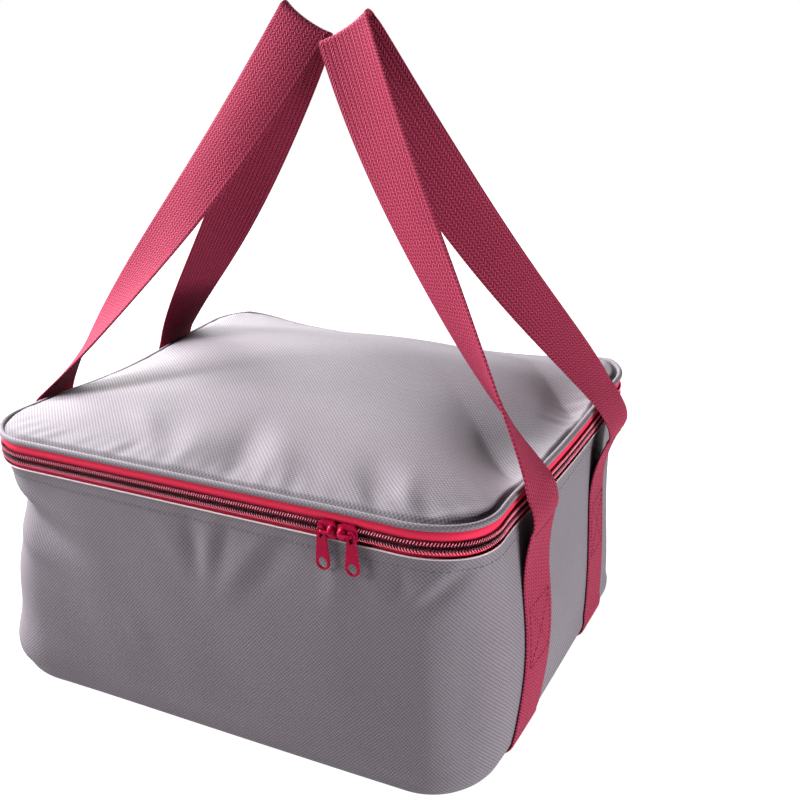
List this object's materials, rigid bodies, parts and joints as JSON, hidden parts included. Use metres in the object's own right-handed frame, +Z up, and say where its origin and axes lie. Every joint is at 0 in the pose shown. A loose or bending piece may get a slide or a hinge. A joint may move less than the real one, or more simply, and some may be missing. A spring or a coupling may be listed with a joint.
{
  "type": "camping dish storage bag",
  "caption": "Soft square carrying bag with a crowned lid that zips shut round three sides and webbing handles sewn up its short sides.",
  "frame": {"origin": "middle of the base panel's underside, on the surface that the bag stands on", "axes": "+Z up, the front with the zip sliders faces -Y, +X along the bag's width to the right"},
  "size_m": [0.3598, 0.3079, 0.4249],
  "materials": {
    "grey_fabric": "coated polyester with a fine diagonal rib",
    "seam_binding": "narrow woven binding tape",
    "piping_cord": "soft twisted filler cord",
    "zip_tape": "woven red zip tape",
    "zip_coil": "dark maroon nylon coil",
    "red_metal": "glossy red enamel on die-cast zinc",
    "webbing": "raspberry polypropylene webbing with a chevron weave"
  },
  "bodies": {
    "bag": {"wall_band": "grey_fabric", "base_panel": "grey_fabric", "base_seam_binding": "seam_binding", "back_seam_binding": "seam_binding", "lower_zip_tape": "zip_tape", "lower_zip_coil": "zip_coil", "hinge_strip": "grey_fabric", "strap_left_front": "webbing", "strap_left_rear": "webbing", "strap_right_front": "webbing", "strap_right_rear": "webbing"},
    "lid": {"lid_panel": "grey_fabric", "lid_piping": "grey_fabric", "lid_piping_cord": "piping_cord", "lid_seam_binding": "seam_binding", "upper_zip_tape": "zip_tape", "upper_zip_coil": "zip_coil"},
    "handle_left": {"handle_left": "webbing"},
    "handle_right": {"handle_right": "webbing"},
    "slider_left": {"slider_left": "red_metal"},
    "slider_right": {"slider_right": "red_metal"},
    "pull_left": {"pull_left": "red_metal"},
    "pull_right": {"pull_right": "red_metal"}
  },
  "joints": [
    {"name": "lid_hinge", "type": "hinge", "parent": "bag", "child": "lid", "pos_m": [0, 0.1492, 0.176], "axis": [-1, 0, 0], "range_deg": [0, 210], "deforming": ["handle_left", "handle_right"]},
    {"name": "handle_left_swing", "type": "hinge", "parent": "bag", "child": "handle_left", "pos_m": [-0.1713, 0, 0.15], "axis": [0, -1, 0], "range_deg": [0, 140]},
    {"name": "handle_right_swing", "type": "hinge", "parent": "bag", "child": "handle_right", "pos_m": [0.1713, 0, 0.15], "axis": [0, 1, 0], "range_deg": [0, 140]},
    {"name": "slider_left_slide", "type": "slide", "parent": "bag", "child": "slider_left", "axis": [-1, 0, 0], "range_m": [0, 0.2]},
    {"name": "slider_right_slide", "type": "slide", "parent": "bag", "child": "slider_right", "axis": [1, 0, 0], "range_m": [0, 0.018]},
    {"name": "pull_left_swing", "type": "hinge", "parent": "slider_left", "child": "pull_left", "pos_m": [0.08645, -0.1527, 0.1652], "axis": [0, 1, 0], "range_deg": [0, 100]},
    {"name": "pull_right_swing", "type": "hinge", "parent": "slider_right", "child": "pull_right", "pos_m": [0.10455, -0.1527, 0.1652], "axis": [0, -1, 0], "range_deg": [0, 100]}
  ]
}
